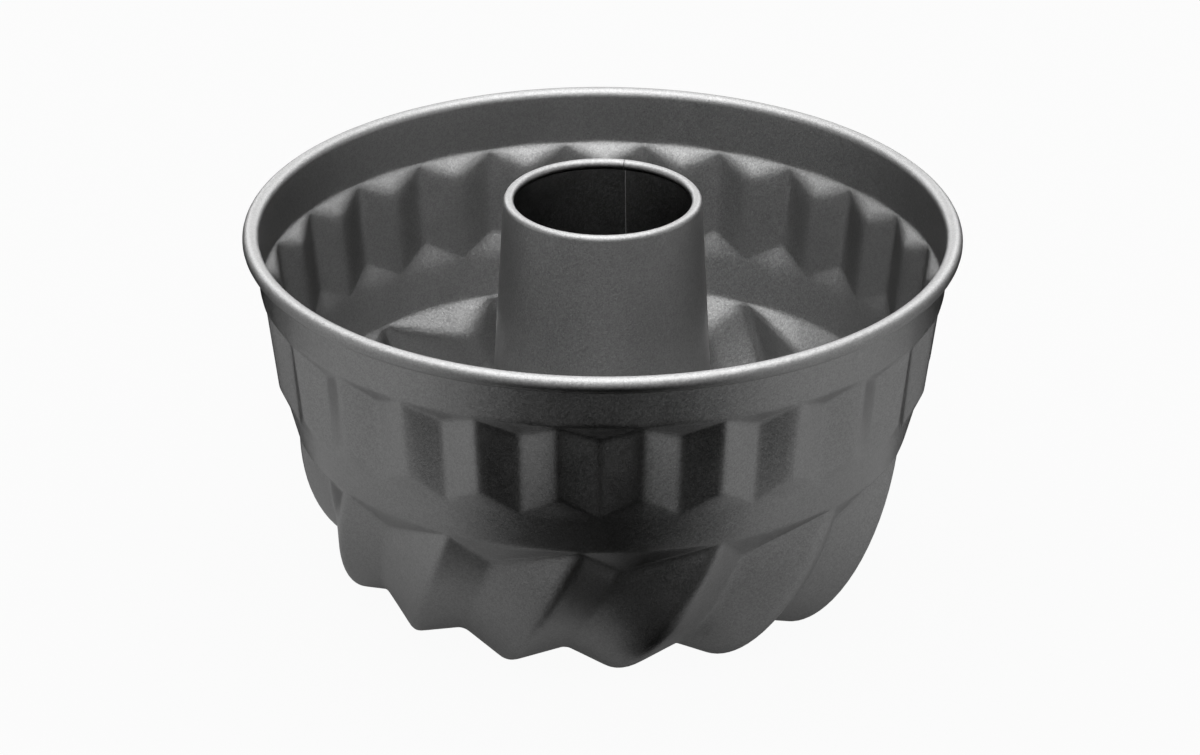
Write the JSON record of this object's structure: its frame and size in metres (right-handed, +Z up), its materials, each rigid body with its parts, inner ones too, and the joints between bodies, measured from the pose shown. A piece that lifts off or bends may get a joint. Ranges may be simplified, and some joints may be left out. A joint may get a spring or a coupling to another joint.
{
  "type": "fluted tube pan",
  "caption": "Deep round baking pan with a rolled rim, a facet band, swirling flutes and a tapered centre tube.",
  "frame": {"origin": "on the tube's axis, in the plane of the ridges that the pan stands on", "axes": "+Z up along the tube's axis, out of the pan's mouth; -Y towards the front of the picture; +X to its right"},
  "size_m": [0.22, 0.22, 0.1228],
  "materials": {
    "coated_steel": "satin"
  },
  "bodies": {
    "root": {"pan_body": "coated_steel", "centre_tube": "coated_steel"}
  },
  "joints": []
}
